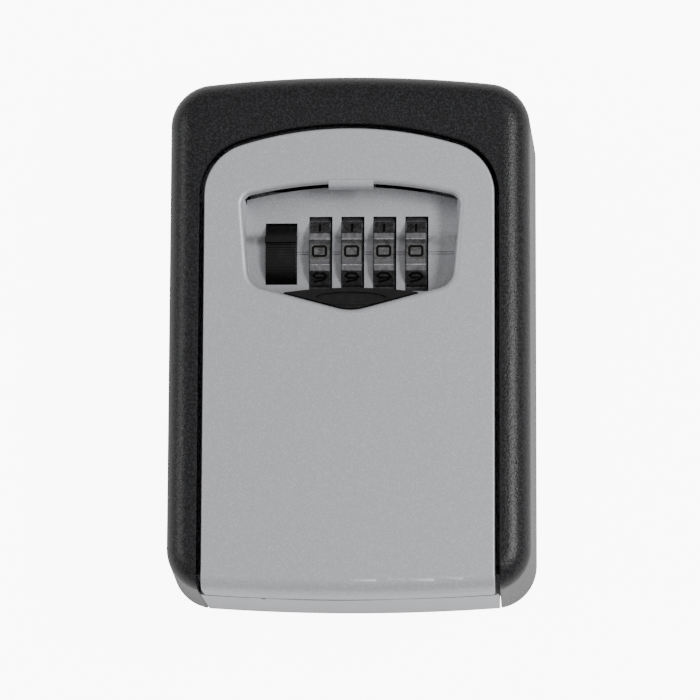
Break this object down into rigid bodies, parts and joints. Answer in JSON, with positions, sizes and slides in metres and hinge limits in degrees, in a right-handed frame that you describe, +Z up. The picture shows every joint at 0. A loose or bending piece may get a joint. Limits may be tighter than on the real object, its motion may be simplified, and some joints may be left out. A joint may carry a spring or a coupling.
{
  "type": "key lock box",
  "caption": "Wall-mounted key safe with an arched drop-down door, combination wheels, thumb release and a sliding shutter over the wheels.",
  "frame": {"origin": "centre of the case's flat back face, on the wall", "axes": "+X to the right seen from the front, -Y out of the wall towards the user, +Z up"},
  "size_m": [0.085, 0.04, 0.12],
  "materials": {
    "black_shell": "textured black powder coat",
    "silver_paint": "fine metallic silver paint",
    "foam": "closed-cell foam",
    "black_plastic": "satin moulded",
    "wheel_metal": "worn nickel plate",
    "numeral_ink": "black paint fill",
    "steel": "zinc plated",
    "bronze": "rolled spring bronze"
  },
  "bodies": {
    "case": {"outer_shell": "black_shell", "inner_box": "silver_paint", "back_pad": "foam", "strike_plate": "steel", "strike_screw_1": "steel", "strike_screw_2": "steel", "shell_rivet_1": "steel", "shell_rivet_2": "steel", "shell_rivet_3": "steel", "shell_rivet_4": "steel", "hinge_pin": "steel"},
    "door": {"door_cover": "silver_paint", "window_plate": "silver_paint", "lock_body": "black_plastic", "lock_cover": "black_plastic", "cover_screw_1": "steel", "cover_screw_2": "steel", "cover_screw_3": "steel", "cover_screw_4": "steel", "wheel_shaft": "steel", "shaft_clip_left": "steel", "shaft_clip_right": "steel", "shaft_spring": "steel", "detent_spring": "bronze", "latch_spring_left": "steel", "latch_spring_right": "steel"},
    "shutter": {"shutter": "black_plastic"},
    "dial_1": {"dial_wheel_1": "wheel_metal", "dial_numerals_1": "numeral_ink", "dial_hub_1": "black_plastic"},
    "dial_2": {"dial_wheel_2": "wheel_metal", "dial_numerals_2": "numeral_ink", "dial_hub_2": "black_plastic"},
    "dial_3": {"dial_wheel_3": "wheel_metal", "dial_numerals_3": "numeral_ink", "dial_hub_3": "black_plastic"},
    "dial_4": {"dial_wheel_4": "wheel_metal", "dial_numerals_4": "numeral_ink", "dial_hub_4": "black_plastic"},
    "release": {"release_lever": "black_plastic"},
    "latch": {"latch_slider": "steel"},
    "reset": {"reset_lever": "black_plastic"}
  },
  "joints": [
    {"name": "door_hinge", "type": "hinge", "parent": "case", "child": "door", "pos_m": [0, -0.036, -0.0542], "axis": [1, 0, 0], "range_deg": [0, 95]},
    {"name": "shutter_slide", "type": "slide", "parent": "door", "child": "shutter", "axis": [0, 0, 1], "range_m": [0, 0.0225]},
    {"name": "dial_1_spin", "type": "hinge", "parent": "door", "child": "dial_1", "pos_m": [0, -0.0262, 0.0191], "axis": [1, 0, 0], "continuous": true},
    {"name": "dial_2_spin", "type": "hinge", "parent": "door", "child": "dial_2", "pos_m": [0, -0.0262, 0.0191], "axis": [1, 0, 0], "continuous": true},
    {"name": "dial_3_spin", "type": "hinge", "parent": "door", "child": "dial_3", "pos_m": [0, -0.0262, 0.0191], "axis": [1, 0, 0], "continuous": true},
    {"name": "dial_4_spin", "type": "hinge", "parent": "door", "child": "dial_4", "pos_m": [0, -0.0262, 0.0191], "axis": [1, 0, 0], "continuous": true},
    {"name": "release_turn", "type": "hinge", "parent": "door", "child": "release", "pos_m": [0, -0.0262, 0.0191], "axis": [1, 0, 0], "range_deg": [0, 27]},
    {"name": "latch_slide", "type": "slide", "parent": "door", "child": "latch", "axis": [0, 0, -1], "range_m": [0, 0.002], "stiffness_N_per_m": 150, "springref_m": -0.003, "deforming": ["latch_spring_left", "latch_spring_right"]},
    {"name": "reset_slide", "type": "slide", "parent": "door", "child": "reset", "axis": [1, 0, 0], "range_m": [0, 0.004]}
  ],
  "couplings": [
    {"joint": "release_turn", "follows": "latch_slide", "rad_per_m": 218.16}
  ]
}
